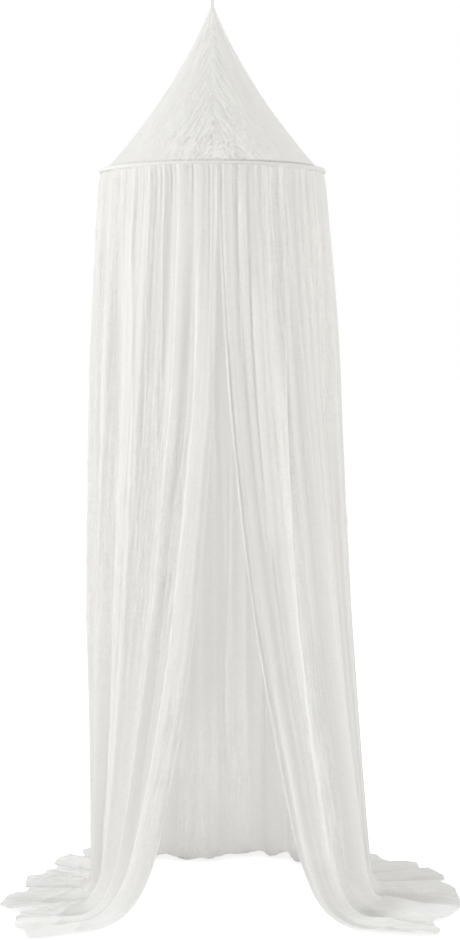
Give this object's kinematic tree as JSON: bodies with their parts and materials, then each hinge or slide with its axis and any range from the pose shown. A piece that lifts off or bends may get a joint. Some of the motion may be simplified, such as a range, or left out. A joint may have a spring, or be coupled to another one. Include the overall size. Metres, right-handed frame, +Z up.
{
  "type": "mosquito net canopy with hoop",
  "caption": "Hanging canopy of crinkled muslin: a tape loop, a hollow-sided conical roof, a hoop in a rolled channel, and a gathered curtain open at the front and pooled on the floor.",
  "frame": {"origin": "hang point, at the inner top of the tape loop", "axes": "+Z up, the front opening faces -Y, +X to the viewer's right"},
  "size_m": [1.0423, 0.8214, 2.0762],
  "materials": {
    "muslin": "crinkled cotton gauze, matt, slightly sheer",
    "tape": "woven cotton tape, matt",
    "hoop_rod": "satin"
  },
  "bodies": {
    "root": {"hang_loop": "tape", "cone_left": "muslin", "cone_right": "muslin", "hoop_channel": "muslin", "hoop": "hoop_rod", "curtain": "muslin"}
  },
  "joints": []
}
